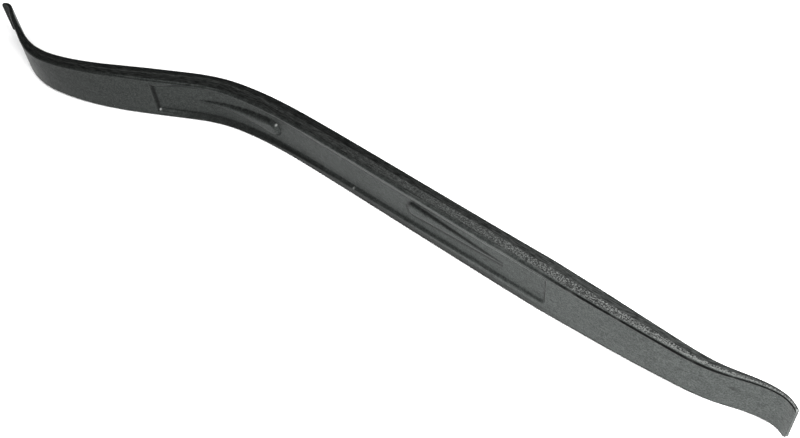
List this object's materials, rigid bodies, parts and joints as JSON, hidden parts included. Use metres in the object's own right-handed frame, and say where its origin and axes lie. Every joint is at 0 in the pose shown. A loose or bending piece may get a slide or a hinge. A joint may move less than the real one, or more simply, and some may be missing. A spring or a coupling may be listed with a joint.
{
  "type": "tyre lever",
  "caption": "Long curved steel tyre lever with thin spoon tips, sunk panels and tapered ribs, for prising a tyre bead over a rim.",
  "frame": {"origin": "middle of the footprint, level with the lower trimmed narrow edge the lever stands on", "axes": "+X along the lever from the hooked tip to the spoon tip, +Y from the front wide face to the back wide face, +Z across the width of the blade"},
  "size_m": [0.4014, 0.0384, 0.0219],
  "materials": {
    "forged_steel": "satin black oxide and lacquer over forged steel, rougher where the flash was trimmed"
  },
  "bodies": {
    "root": {"forged_lever": "forged_steel"}
  },
  "joints": []
}
